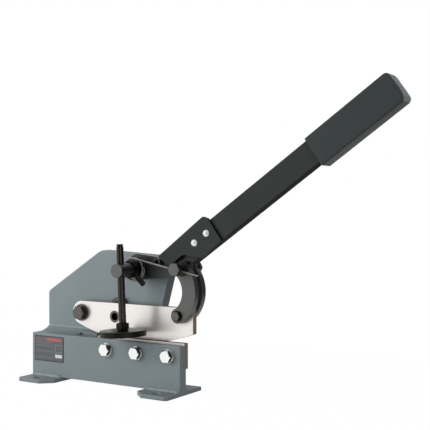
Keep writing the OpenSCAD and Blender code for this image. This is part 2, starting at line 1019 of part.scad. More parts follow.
front_wall();
bridge_block();
back_plate();
left_foot();
right_foot();
data_plate();
lower_blade();
lower_blade_bolts();
lower_blade_spring_washers();
lower_blade_washers();
upper_blade();
blade_bush();
bar_ring();
bar_bush();
blade_pivot_bolt();
blade_front_washer();
blade_pivot_spacer();
blade_rear_washer();
blade_pivot_nut();
link_front_plate();
link_rear_plate();
link_lower_bolt();
link_lower_washers();
link_lower_nut();
link_upper_bolt();
link_upper_washer();
link_upper_nut();
lever_arm();
arm_bush();
lever_boss();
lever_bracket();
lever_bar();
lever_grip();
lever_bolts();
lever_nuts();
return_spring();
pivot_hub();
hub_spacer();
hub_washer();
hub_nut();
lock_screw();
hold_down_bar();
hold_down_spindle();
hold_down_nut();
hold_down_pad();
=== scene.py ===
"""Looks of a bench lever shear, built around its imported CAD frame.

Lengths in the tables are millimetres in the CAD source's own datum: X from the front wall's left
end, Y back from the wall's face, Z up from the bench. shear_point() moves them to the row's frame.
"""

import math

import bmesh
import bpy
import numpy as np
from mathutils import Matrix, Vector


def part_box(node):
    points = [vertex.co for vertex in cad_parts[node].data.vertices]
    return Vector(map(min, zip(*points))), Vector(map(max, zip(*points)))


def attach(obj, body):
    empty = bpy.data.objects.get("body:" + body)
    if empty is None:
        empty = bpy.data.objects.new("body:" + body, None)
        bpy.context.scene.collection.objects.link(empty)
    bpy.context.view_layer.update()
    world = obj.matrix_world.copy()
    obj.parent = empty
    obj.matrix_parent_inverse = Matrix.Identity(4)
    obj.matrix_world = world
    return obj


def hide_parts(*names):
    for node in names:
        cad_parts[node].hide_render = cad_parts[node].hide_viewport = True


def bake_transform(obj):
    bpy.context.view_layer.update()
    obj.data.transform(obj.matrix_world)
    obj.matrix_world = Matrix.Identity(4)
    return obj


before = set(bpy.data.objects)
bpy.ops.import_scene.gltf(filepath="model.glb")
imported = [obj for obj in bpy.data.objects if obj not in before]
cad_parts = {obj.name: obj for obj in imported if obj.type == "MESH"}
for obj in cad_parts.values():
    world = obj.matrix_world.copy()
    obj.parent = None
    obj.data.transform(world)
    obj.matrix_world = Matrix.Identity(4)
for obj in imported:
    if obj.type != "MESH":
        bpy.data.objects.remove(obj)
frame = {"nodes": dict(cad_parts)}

bl_info = {
    "name": "Bench lever shear",
    "version": (1, 0, 0),
    "blender": (4, 5, 0),
    "location": "View3D > Sidebar > Shear",
    "description": "Finishes and fine pieces of a bench lever shear",
    "category": "Object",
}

MM = 0.001

# Origin of the CAD source in the row's frame, and the pivots by X and Z
DATUM = np.array([-153.5, 21.0, 0.0])
LEVER_PIVOT = (211.5, 193.5)
BLADE_PIVOT = (93.0, 116.0)
LINK_TOP = (304.5, 197.5)
LINK_LOW = (295.7, 123.5)
LEVER_ANGLE = math.radians(35.0)
LEAN_ANGLE = math.radians(-2.6)

# Meshes: columns of a turned piece and of a tube, points to a rounded corner or a quarter round, degrees
# up to which faces meet smoothly, and distances in metres within which points are one
SIDES = 96
TUBE_SIDES = 14
CORNER_POINTS = 12
LIP_POINTS = 5
ROUND_POINTS = 9
SMOOTH_ANGLE = 32.0
MERGED = 1e-6
DEGENERATE = 1e-7

# Hex heads and nuts: radius of the round face as a share of the width across flats, slope of the cone
# beyond it, and how far the cone starts below the face, whose rim drops in two steps
CHAMFER_RIM = 0.472
CHAMFER_SLOPE = math.tan(math.radians(30))
CORNER_DROP = 0.12
FACE_INSET = 0.5
FACE_EDGE = 0.1
FACE_DROP = 0.04

# Small edges: bevel at a head's seat, countersink of a nut, bevelled tip of a bolt, bevel of a washer,
# and what a rounded rectangle keeps flat at least on half a side
SEAT_EDGE = 0.3
COUNTERSINK = 0.8
POINT_LENGTH = 1.2
POINT_DEPTH = 1.0
WASHER_EDGE = 0.25
LEAST_FLAT = 0.01

# Bolts: width across flats, Y of the head's face and of its seat, radius of the shank, Y of its tip
BLADE_BOLTS = (163.0, 224.0, 285.0)
BLADE_BOLT_Z = 61.5
WALL_BOLT = {"af": 18, "head": -9.8, "seat": -3.0, "shank": 5.95, "tip": 18.8}
PIVOT_BOLT = {"af": 21, "head": 8.7, "seat": 17.5, "shank": 6.95, "tip": 41}
LINK_LOW_BOLT = {"af": 13, "head": 3, "seat": 8.3, "shank": 3.97, "tip": 49.2}
LINK_TOP_HEAD = {"af": 19, "y0": -14, "y1": -6.5}

# Turned ends by radius and Y: the pivot bolt past its shoulder, the upper link bolt past its head
PIVOT_END = (
    (0.0, 41), (5.95, 41), (5.95, 74.3), (5.2, 75.17), (5.95, 76.05), (5.2, 76.92), (5.0, 77.3), (0.0, 77.3),
)
LINK_TOP_END = (
    (6.0, -6.5), (6.0, 6.9), (6.4, 7.3), (11.1, 7.3), (11.5, 7.7), (11.5, 9.1), (11.1, 9.5), (5.97, 9.5),
    (5.97, 53), (5.0, 54.2), (0.0, 54.2),
)

# Flat washer, and split washer with its section by radius and thickness, half its gap in radians and
# how far its front rises
FLAT_WASHER = {"outer": 11, "bore": 6.5, "y0": -1.4, "y1": 0}
SPLIT_SECTION = ((6.6, 0), (9.75, 0), (10, 0.25), (10, 1.35), (9.75, 1.6), (6.6, 1.6))
SPLIT_THICK = 1.6
SPLIT_STEPS = 72
SPLIT_GAP = 0.05
SPLIT_RISE = 0.5
SPLIT_CLEAR = 0.03

# Hold-down, with heights from the lever's pivot along the leaning spindle: its thread has so many rows
# to a turn, fades in over a plain foot and out at its top, and ends in a plain neck. The foot's end has
# a bevel to a radius over a height; the neck starts above the thread and has a bevel of 45 degrees.
SPINDLE_Y = -25.0
SPINDLE_RADIUS = 5.95
SPINDLE_TOP = 41.9
SPINDLE_SIDES = 32
THREAD_TOP = 36.9
THREAD_ROWS = 8
THREAD_FADE = 2.0
PLAIN_FOOT = 9.0
FOOT_EDGE = (5.0, 0.5)
NECK_RADIUS = 5.2
NECK_FALL = 0.4
NECK_EDGE = 0.6

# Pad: height of its upper face, how deep the spindle sits in it, and its profile by radius and height
PAD_TOP = -93.7
PAD_SOCKET = 4.0
PAD_SIDES = 128
PAD_PROFILE = (
    (0, -9), (36.2, -9), (37.0, -8.2), (37.0, -1.0), (36.4, -0.2), (35.7, 0), (8.9, 0), (8.5, 0.4),
    (8.5, 0.7), (8.2, 1.0), (6.05, 1.0), (6.05, -4.3), (0, -4.3),
)

# Nuts: width across flats, radius of the bore, and where the two faces lie
PIVOT_NUT = {"af": 19, "bore": 6.05, "y0": 63.5, "y1": 74.3}
HUB_NUT = {"af": 30, "bore": 10.05, "y0": 64, "y1": 80}
LINK_LOW_NUT = {"af": 13, "bore": 4.05, "y0": 41.9, "y1": 48.4}
LINK_TOP_NUT = {"af": 19, "bore": 6.05, "y0": 42.9, "y1": 53.7}
LEVER_NUT = {"af": 13, "bore": 4.05, "y0": 35.1, "y1": 41.6}
SPINDLE_NUT = {"af": 19, "bore": 6.05, "y0": PAD_TOP + 1.3, "y1": PAD_TOP + 11.5}

# Domed bolts of the lever, placed along and across it, with the angles that the dome is drawn between
LEVER_BOLTS = (42.0, 68.5)
LEVER_BOLT_V = 20.3
DOME_RADIUS = 5.75
DOME_HEIGHT = 4.0
DOME_SEAT = 10.1
DOME_ARC = (0.05 * math.pi, 0.5 * math.pi)
DOME_SHANK = ((3.97, 10.1), (3.97, 42.2), (3.2, 43.1), (0.0, 43.1))

# Grip: middle of its section, width and height, the mouth for the tube with its corner, and where it
# starts and ends; the lip and the nose are quarter rounds, and the nose narrows by a small share
GRIP_Y = 25.1
GRIP_V = 14.25
GRIP_WIDTH = 30.0
GRIP_HEIGHT = 48.5
GRIP_MOUTH = (20.1, 37.2, 0.5)
GRIP_START = 283.0
GRIP_END = 434.0
GRIP_LIP = 1.2
GRIP_NOSE = 7.0
GRIP_TAPER = 0.15

# Return spring: coil round the hub, wound along Y, and a straight arm from the angle where it ends; the
# foot turns on, in radians, while it moves in towards the hub
COIL_RADIUS = 18.0
COIL_PITCH = 5.0
COIL_TURNS = 1.75
COIL_END = 4.2
COIL_POINTS = 130
ARM_ANGLE = math.radians(79.87)
ARM_REACH = (3, 129)
ARM_POINTS = 30
FOOT_TURN = (0.42, 0.03)
FOOT_INWARD = 3.0
FOOT_POINTS = 8

# Weld beads: start, end, direction across the joint, radius share
WELDS = (
    ("weld_left_front", (0.5, 0, 6), (65, 0, 6), (0, -1, 1), 1.0),
    ("weld_right_front", (242, 0, 6), (306.5, 0, 6), (0, -1, 1), 1.0),
    ("weld_right_back", (243, 17, 6), (303, 17, 6), (0, 1, 1), 0.9),
    ("weld_plate_foot", (242, 41, 6), (274, 41, 6), (0, -1, 1), 0.9),
    ("weld_bridge", (2, 41, 86), (116, 41, 86), (0, -1, 1), 0.45),
)
# Their ripples: length in mm, points to a mm, height as a share of the radius; a slow swell by the same
# share and a wander in mm, each through so many random points; and ends that thin out to a small share
BEAD_STEP = 2.6
BEAD_POINTS_PER_MM = 2.5
BEAD_LEAST_POINTS = 12
BEAD_RIPPLE = 0.14
BEAD_SWELL = 0.05
SWELL_KNOTS = 9
BEAD_WANDER = 0.15
WANDER_KNOTS = 13
BEAD_TAPER = 0.9
BEAD_END = 0.05


def srgb(text):
    """Linear RGBA of a colour written as #rrggbb."""
    parts = [int(text[i : i + 2], 16) / 255 for i in (1, 3, 5)]
    return tuple(c / 12.92 if c <= 0.04045 else ((c + 0.055) / 1.055) ** 2.4 for c in parts) + (1.0,)


def shear_point(p):
    """Row frame metres of points given in millimetres from the wall's corner."""
    return (np.asarray(p, float) + DATUM) * MM


def lever_point(p):
    """Row frame metres of points (u, y, v): u along the lever from its link pivot, v across it."""
    p = np.asarray(p, float)
    c, s = math.cos(LEVER_ANGLE), math.sin(LEVER_ANGLE)
    x = LINK_TOP[0] + p[..., 0] * c - p[..., 2] * s
    z = LINK_TOP[1] + p[..., 0] * s + p[..., 2] * c
    return shear_point(np.stack([x, p[..., 1], z], -1))


def hold_point(p):
    """Row frame metres of points from the hold-down's pivot, z along its leaning spindle."""
    p = np.asarray(p, float)
    c, s = math.cos(LEAN_ANGLE), math.sin(LEAN_ANGLE)
    x = LEVER_PIVOT[0] + p[..., 0] * c + p[..., 2] * s
    z = LEVER_PIVOT[1] - p[..., 0] * s + p[..., 2] * c
    return shear_point(np.stack([x, p[..., 1], z], -1))


def turned(rings, centre, place=shear_point, axis="y", sides=SIDES):
    """Surface (c1 + r(t) cos t, h(t), c2 + r(t) sin t) for each ring (r, h), t in [0, 2 pi).

    About the axis z the height h(t) comes last instead.
    """
    t = np.linspace(0, 2 * math.pi, sides, endpoint=False)
    rows = []
    for r, h in rings:
        r = r(t) if callable(r) else np.full(sides, float(r))
        h = h(t) if callable(h) else np.full(sides, float(h))
        a, b = centre[0] + r * np.cos(t), centre[1] + r * np.sin(t)
        rows.append(np.stack([a, h, b] if axis == "y" else [a, b, h], -1))
    return place(np.array(rows))


def hexagon(af):
    """Distance from the axis to the side of a hexagon, r(t) = af / 2 / cos((t mod 60) - 30)."""
    third = math.pi / 3
    return lambda t: af / 2 / np.cos(np.mod(t, third) - third / 2)


def hex_rings(af, y0, y1, both=False):
    """Rings of a hexagon from face y0 to seat y1, its corners cut by a cone at y0, or at both ends."""
    side = hexagon(af)
    rim = af * CHAMFER_RIM

    def drop(t):
        return CORNER_DROP + np.maximum(side(t) - rim, 0) * CHAMFER_SLOPE

    rings = [(rim - FACE_INSET, y0), (rim - FACE_EDGE, y0 + FACE_DROP), (side, lambda t: y0 + drop(t))]
    if both:
        rings += [(side, lambda t: y1 - drop(t)), (rim - FACE_EDGE, y1 - FACE_DROP), (rim - FACE_INSET, y1)]
    else:
        rings += [(side, y1 - SEAT_EDGE), (lambda t: side(t) - SEAT_EDGE, y1)]
    return rings


def bolt_rings(af, head, seat, shank, tip):
    """Rings of a bolt: hex head from head to seat, then a shank of radius shank with a bevelled tip."""
    end = [(shank, seat), (shank, tip - POINT_LENGTH), (shank - POINT_DEPTH, tip), (0.0, tip)]
    return [(0.0, head)] + hex_rings(af, head, seat) + end


def nut_rings(af, bore, y0, y1):
    """Closed rings of a nut with both faces chamfered and a countersunk bore."""
    wide = bore + COUNTERSINK
    inner = [(wide, y1), (bore, y1 - COUNTERSINK), (bore, y0 + COUNTERSINK), (wide, y0)]
    rings = hex_rings(af, y0, y1, True) + inner
    return rings + rings[:1]


def ring_rings(outer, bore, y0, y1):
    """Closed rings of a washer with small bevelled edges."""
    flat = outer - WASHER_EDGE
    front = [(bore, y0), (flat, y0), (outer, y0 + WASHER_EDGE)]
    back = [(outer, y1 - WASHER_EDGE), (flat, y1), (bore, y1)]
    return front + back + front[:1]


def sweep(path, radius, up=(0.0, 1.0, 0.0)):
    """Tube of round section along path: p(s) + radius (n cos t + b sin t), with capped ends."""
    path = np.asarray(path, float)
    d = np.gradient(path, axis=0)
    d /= np.linalg.norm(d, axis=1)[:, None]
    n = np.cross(d, np.asarray(up, float))
    n /= np.linalg.norm(n, axis=1)[:, None]
    b = np.cross(d, n)
    t = np.linspace(0, 2 * math.pi, TUBE_SIDES, endpoint=False)
    across = n[:, None] * np.cos(t)[None, :, None] + b[:, None] * np.sin(t)[None, :, None]
    r = np.broadcast_to(np.asarray(radius, float), (len(path),))[:, None, None]
    first = np.repeat(path[:1, None], TUBE_SIDES, 1)
    last = np.repeat(path[-1:, None], TUBE_SIDES, 1)
    return np.concatenate([first, path[:, None] + r * across, last])


def rounded_ring(w, h, r):
    """Outline of a w by h rectangle with corner radius r, counter-clockwise about its centre."""
    r = min(r, w / 2 - LEAST_FLAT, h / 2 - LEAST_FLAT)
    t = np.linspace(0, math.pi / 2, CORNER_POINTS)
    points = []
    for k, (right, top) in enumerate(((1, 1), (-1, 1), (-1, -1), (1, -1))):
        a = t + k * math.pi / 2
        points.append(np.stack([right * (w / 2 - r) + r * np.cos(a), top * (h / 2 - r) + r * np.sin(a)], -1))
    return np.concatenate(points)


def bead(start, end, out, radius, seed):
    """Weld bead: a tube along the joint that ripples, r(s) = r0 (1 + ripple |sin(pi s / step)| + swell).

    It wanders a little across the joint and thins out, by a square root, towards both ends.
    """
    start, end = np.asarray(start, float), np.asarray(end, float)
    length = np.linalg.norm(end - start)
    s = np.linspace(0, length, max(int(length * BEAD_POINTS_PER_MM), BEAD_LEAST_POINTS))
    rng = np.random.default_rng(seed)
    swell = BEAD_SWELL * np.interp(s, np.linspace(0, length, SWELL_KNOTS), rng.normal(size=SWELL_KNOTS))
    ripple = 1 + BEAD_RIPPLE * np.abs(np.sin(math.pi * s / BEAD_STEP)) + swell
    taper = np.clip(np.minimum(s, length - s) / (radius * BEAD_TAPER), 0, 1) ** 0.5
    out = np.asarray(out, float) / np.linalg.norm(out)
    wander = BEAD_WANDER * np.interp(s, np.linspace(0, length, WANDER_KNOTS), rng.normal(size=WANDER_KNOTS))
    path = start + (end - start) * (s / length)[:, None] + out * wander[:, None]
    up = np.cross(end - start, out)
    return shear_point(sweep(path, radius * ripple * np.maximum(taper, BEAD_END), up))


def make(name, grids, mat, body, replaces=(), angle=SMOOTH_ANGLE):
    """One mesh object of several closed grids (rows, columns, 3), its columns joined round."""
    verts, faces, start = [], [], 0
    for g in grids:
        rows, cols = g.shape[:2]
        i, j = np.meshgrid(np.arange(rows - 1), np.arange(cols), indexing="ij")
        k = (j + 1) % cols
        quads = np.stack([i * cols + j, i * cols + k, (i + 1) * cols + k, (i + 1) * cols + j], -1)
        faces.append(quads.reshape(-1, 4) + start)
        verts.append(g.reshape(-1, 3))
        start += rows * cols
    mesh = bpy.data.meshes.new(name)
    mesh.from_pydata(np.concatenate(verts).tolist(), [], np.concatenate(faces).tolist())
    soft = bmesh.new()
    soft.from_mesh(mesh)
    bmesh.ops.remove_doubles(soft, verts=soft.verts, dist=MERGED)
    bmesh.ops.dissolve_degenerate(soft, edges=soft.edges, dist=DEGENERATE)
    bmesh.ops.recalc_face_normals(soft, faces=soft.faces)
    soft.to_mesh(mesh)
    soft.free()
    mesh.shade_smooth()
    mesh.set_sharp_from_angle(angle=math.radians(angle))
    mesh.materials.append(mat)
    obj = bpy.data.objects.new(name, mesh)
    bpy.context.scene.collection.objects.link(obj)
    if body:
        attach(obj, body)
    if replaces:
        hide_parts(*replaces)
    return obj


# Settings of a Mix node for colours, plain and multiplied
MIX = {"data_type": "RGBA"}
TINT = {"data_type": "RGBA", "blend_type": "MULTIPLY"}
# Roughness of a matt rim and of a clear coat
DULL = 0.75
COAT_ROUGHNESS = 0.25
# Shade painted into corners: its reach in metres, and how open a spot is where the painted shade is darkest
# and where it ends
CORNER_SHADE_REACH = 0.02
CORNER_SHADE_SPAN = (0.15, 0.75)
# Highlight painted along edges: how alike the softened and the true normal are on a full edge and on an open
# face
EDGE_SPAN = (0.8, 0.985)
SOFT_SAMPLES = 6


def add(tree, kind, settings=None, **sockets):
    """A new node with its settings, and each named socket set to a value or joined to another node."""
    node = tree.nodes.new("ShaderNode" + kind)
    for key, value in (settings or {}).items():
        setattr(node, key, value)
    for key, value in sockets.items():
        key = key.replace("_", " ")
        socket = node.inputs[int(key[1:])] if key[0] == "i" and key[1:].isdigit() else node.inputs[key]
        if isinstance(value, bpy.types.NodeSocket):
            tree.links.new(value, socket)
        else:
            socket.default_value = value
    return node


def span(low, high, start=0.3, end=0.7):
    """Sockets of a Map Range node that takes start..end to low..high."""
    return {"From_Min": start, "From_Max": end, "To_Min": low, "To_Max": high}


def noise(tree, size, stretch=(1.0, 1.0, 1.0), detail=3.0, turn=0.0):
    """Noise of the object's own coordinates with features of the given size in metres."""
    coord = add(tree, "TexCoord").outputs["Object"]
    scale = tuple(s / size for s in stretch)
    mapped = add(tree, "Mapping", Vector=coord, Scale=scale, Rotation=(0.0, turn, 0.0)).outputs[0]
    return add(tree, "TexNoise", Vector=mapped, Scale=1.0, Detail=detail).outputs["Fac"]


def facing(tree, axis, start, end):
    """0 to 1 as the object's own normal turns along an axis, its absolute share going from start to end."""
    normal = add(tree, "TexCoord").outputs["Normal"]
    part = add(tree, "SeparateXYZ", Vector=normal).outputs[axis]
    size = add(tree, "Math", {"operation": "ABSOLUTE"}, i0=part).outputs[0]
    return add(tree, "MapRange", Value=size, **span(0.0, 1.0, start, end)).outputs[0]


def band(tree, axis, low, high):
    """1 where the object's own coordinate lies between low and high metres, else 0."""
    part = add(tree, "SeparateXYZ", Vector=add(tree, "TexCoord").outputs["Object"]).outputs[axis]
    above = add(tree, "Math", {"operation": "GREATER_THAN"}, i0=part, i1=low).outputs[0]
    below = add(tree, "Math", {"operation": "LESS_THAN"}, i0=part, i1=high).outputs[0]
    return add(tree, "Math", {"operation": "MULTIPLY"}, i0=above, i1=below).outputs[0]


def edge_highlight_mask(tree, normal):
    """0 on open faces to 1 on edges, where a highlight is painted: how far the softened normal leans from the
    true one.
    """
    true = add(tree, "NewGeometry").outputs["True Normal"]
    dot = add(tree, "VectorMath", {"operation": "DOT_PRODUCT"}, i0=normal, i1=true).outputs["Value"]
    return add(tree, "MapRange", Value=dot, **span(1.0, 0.0, *EDGE_SPAN)).outputs[0]


def shade(colour, gain):
    """A colour with its brightness changed."""
    return tuple(min(c * gain, 1.0) for c in colour[:3]) + (1.0,)


def mottled(tree, patch, colour, vary):
    """The colour, darker to lighter by the share vary as the patch goes from 0 to 1."""
    return add(tree, "Mix", MIX, i0=patch, i6=shade(colour, 1 - vary), i7=shade(colour, 1 + vary)).outputs[2]


def finish(name, base, *, rough, vary, mottle, edge, metal=0.0, bump=0.0, grain=0.001, spread=0.06,
           stretch=(1.0, 1.0, 1.0), turn=0.0, edge_gain=1.0, rim=None, rim_axis="Y", rim_share=(0.55, 0.85),
           dull_rim=False, coat=0.0, corner_shade=0.0, brushed=0.0, shine=0.5):
    """Principled finish: mottled base colour, varied roughness, fine bump and softened edges, with a painted
    highlight on the edges and painted shade in the corners where asked.

    vary is the share by which the colour varies, spread how far the roughness does, mottle and grain
    the sizes of their patterns in metres, stretch and turn the grain's stretch and its angle about Y,
    bump its height in metres, edge the radius of the edges in mm and edge_gain the brightness of the
    highlight painted along them. rim is a second colour for faces that don't look along rim_axis, or,
    where rim_share falls, for those that do; on the lever and the links it is painted shade, on the zinc
    a painted dark reflection, on the grip painted light. dull_rim leaves them matt and without metal.
    corner_shade is how dark the shade painted into the corners gets, brushed the anisotropy across lines
    that run along X, and shine the specular level.
    """
    mat = bpy.data.materials.new(name)
    mat.use_nodes = True
    tree = mat.node_tree
    tree.nodes.clear()
    patch = add(tree, "MapRange", Value=noise(tree, mottle), **span(0.0, 1.0)).outputs[0]
    colour = mottled(tree, patch, base, vary)
    fine = noise(tree, grain, stretch, 4.0, turn)
    roughness = add(tree, "MapRange", Value=fine, **span(rough - spread, rough + spread)).outputs[0]
    if rim:
        face = facing(tree, rim_axis, *rim_share)
        colour = add(tree, "Mix", MIX, i0=face, i6=mottled(tree, patch, rim, 2 * vary), i7=colour).outputs[2]
        if dull_rim:
            roughness = add(tree, "MapRange", Value=face, **span(DULL, roughness, 0.0, 1.0)).outputs[0]
            metal = add(tree, "MapRange", Value=face, **span(0.0, metal, 0.0, 1.0)).outputs[0]
    soft = add(tree, "Bevel", {"samples": SOFT_SAMPLES}, Radius=edge * MM).outputs[0]
    # Painted highlight: edges lightened by edge_gain where the softened normal leans from the true one
    if edge_gain != 1.0:
        lit = add(tree, "Mix", TINT, i0=1.0, i6=colour, i7=(edge_gain, edge_gain, edge_gain, 1.0)).outputs[2]
        colour = add(tree, "Mix", MIX, i0=edge_highlight_mask(tree, soft), i6=colour, i7=lit).outputs[2]
    # Painted shade: the colour darkened where ambient occlusion finds corners, creases and gaps between parts
    if corner_shade:
        near = add(tree, "AmbientOcclusion", {"samples": SOFT_SAMPLES}, Distance=CORNER_SHADE_REACH).outputs["AO"]
        level = add(tree, "MapRange", Value=near, **span(1 - corner_shade, 1.0, *CORNER_SHADE_SPAN)).outputs[0]
        colour = add(tree, "Mix", TINT, i0=1.0, i6=colour, i7=level).outputs[2]
    normal = add(tree, "Bump", Strength=1.0, Distance=bump, Height=fine, Normal=soft).outputs[0]
    shader = add(tree, "BsdfPrincipled", Base_Color=colour, Roughness=roughness, Metallic=metal,
                 Normal=normal, Specular_IOR_Level=shine, Anisotropic=brushed, Coat_Weight=coat,
                 Coat_Roughness=COAT_ROUGHNESS)
    if brushed:
        across = add(tree, "CombineXYZ", X=0.0, Y=0.0, Z=1.0).outputs[0]
        tree.links.new(across, shader.inputs["Tangent"])
    add(tree, "OutputMaterial", Surface=shader.outputs[0])
    return mat


def paint_over(mat, paint):
    """Lay more colour on a finish: paint(tree, colour) gives the new colour from the one it has."""
    tree = mat.node_tree
    socket = next(n for n in tree.nodes if n.type == "BSDF_PRINCIPLED").inputs["Base Color"]
    tree.links.new(paint(tree, socket.links[0].from_socket), socket)


# Fields of the data plate, drawn in turn: x0, x1, z0, z1 in mm from its lower left corner, and paint
LABEL_FIELDS = (
    ((0, 65, 0, 43), "dark"), ((1.4, 63.6, 1.4, 41.6), "ground"), ((4, 28, 35.5, 39.8), "faint"),
    ((28, 61, 34.6, 40.2), "red"), ((5, 40, 31.2, 31.8), "rule"), ((5, 44, 26.2, 26.8), "rule"),
    ((5, 36, 21.2, 21.8), "dark"), ((5, 42, 16.2, 16.8), "rule"), ((5, 40, 11.2, 11.8), "dark"),
    ((5, 42, 6.2, 6.8), "rule"), ((47, 62, 15.8, 29.5), "rule"), ((48, 61, 16.8, 28.5), "ground"),
    ((47, 62, 7.2, 12.9), "pale"),
)
# Brightness of its dark fields, and the share of red in the faint one
LABEL_DARK = 0.35
LABEL_FAINT = 0.2


def label_finish(name, base, red, rule, pale):
    """Printed plate without lettering: grey ground, dark border, muted red head, rules and a pale field."""

    def fields(tree, ground):
        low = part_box("data_plate")[0]
        faint = tuple(a + LABEL_FAINT * (b - a) for a, b in zip(base, red))
        paints = {"ground": ground, "dark": shade(base, LABEL_DARK), "faint": faint, "red": red,
                  "rule": rule, "pale": pale}
        colour = ground
        for (x0, x1, z0, z1), paint in LABEL_FIELDS:
            wide = band(tree, "X", low[0] + x0 * MM, low[0] + x1 * MM)
            tall = band(tree, "Z", low[2] + z0 * MM, low[2] + z1 * MM)
            inside = add(tree, "Math", {"operation": "MULTIPLY"}, i0=wide, i1=tall).outputs[0]
            colour = add(tree, "Mix", MIX, i0=inside, i6=colour, i7=paints[paint]).outputs[2]
        return colour

    paint_over(finish(name, base, rough=0.35, metal=0.1, vary=0.1, mottle=0.004, edge=0.2), fields)


def keep_head(mat, depth, colour):
    """The finish kept on a bolt's head alone: past depth, in metres along Y, the colour takes over."""

    def past(tree, head):
        return add(tree, "Mix", MIX, i0=band(tree, "Y", depth, 1.0), i6=head, i7=colour).outputs[2]

    paint_over(mat, past)


def colour_property(name, text, words):
    """A colour of the panel with its default."""
    return bpy.props.FloatVectorProperty(
        name=name, description=words, subtype="COLOR", size=4, min=0.0, max=1.0, default=srgb(text)
    )


def length_property(name, value, words):
    """A length of the panel, in metres, with its default."""
    return bpy.props.FloatProperty(
        name=name, description=words, unit="LENGTH", min=0.0, default=value, precision=5
    )


def light_property(name, value, words, unit="POWER"):
    """A strength of light with its default."""
    return bpy.props.FloatProperty(name=name, description=words, unit=unit, min=0.0, default=value)


class ShearColours(bpy.types.PropertyGroup):
    """Colours of the shear's finishes."""

    frame: colour_property("Frame paint", "#858f92", "Paint of the welded frame")
    link: colour_property("Link paint", "#555553", "Paint of the curved links")
    lever: colour_property("Lever paint", "#373b3a", "Paint of arm, bracket and tube")
    grip: colour_property("Grip", "#3b4040", "Plastic of the grip")
    # The grip's end face, painted lighter as the light that falls on it
    grip_end_painted_light: colour_property("Grip end", "#858a8b", "End face of the grip")
    blade: colour_property("Blade steel", "#f3efeb", "Ground faces of the blades")
    blade_edge: colour_property("Blade edge", "#877a71", "Oiled edges and ends of the blades")
    oxide: colour_property("Black oxide", "#262523", "Blackened steel")
    turned: colour_property("Turned face", "#646462", "Turned end faces of black parts")
    zinc: colour_property("Zinc", "#f4f5f4", "Zinc plate on the fasteners")


class ShearSizes(bpy.types.PropertyGroup):
    """Sizes of the fine shapes."""

    weld: length_property("Weld bead", 0.0042, "Radius of the weld beads")
    wire: length_property("Spring wire", 0.0015, "Radius of the spring's wire")
    pitch: length_property("Thread pitch", 0.00175, "Pitch of the spindle's thread")
    depth: length_property("Thread depth", 0.00018, "Depth of the spindle's thread")
    grip_round: length_property("Grip rounding", 0.003, "Radius of the grip's long edges")


class ShearStage(bpy.types.PropertyGroup):
    """Light and backdrop."""

    key: light_property("Key light", 15.0, "Power of the left softbox")
    fill: light_property("Fill light", 5.0, "Power of the right softbox")
    top: light_property("Top light", 1.0, "Power of the overhead softbox")
    rear: light_property("Rear light", 3.5, "Power of the rear softbox")
    room: light_property("Room light", 0.62, "Strength of the room", "NONE")
    floor: colour_property("Floor", "#a6a6a6", "Pale floor")


# Grain of the blades, drawn out along X, and of the saw lines on cut bar
RUBBED = (0.02, 1.0, 1.0)
SAWN = (0.1, 1.0, 1.0)
# The upper link bolt is grey on its head as far as here along Y, 1 mm short of the seat
HEAD_END = (LINK_TOP_HEAD["y1"] - 1.0 + DATUM[1]) * MM


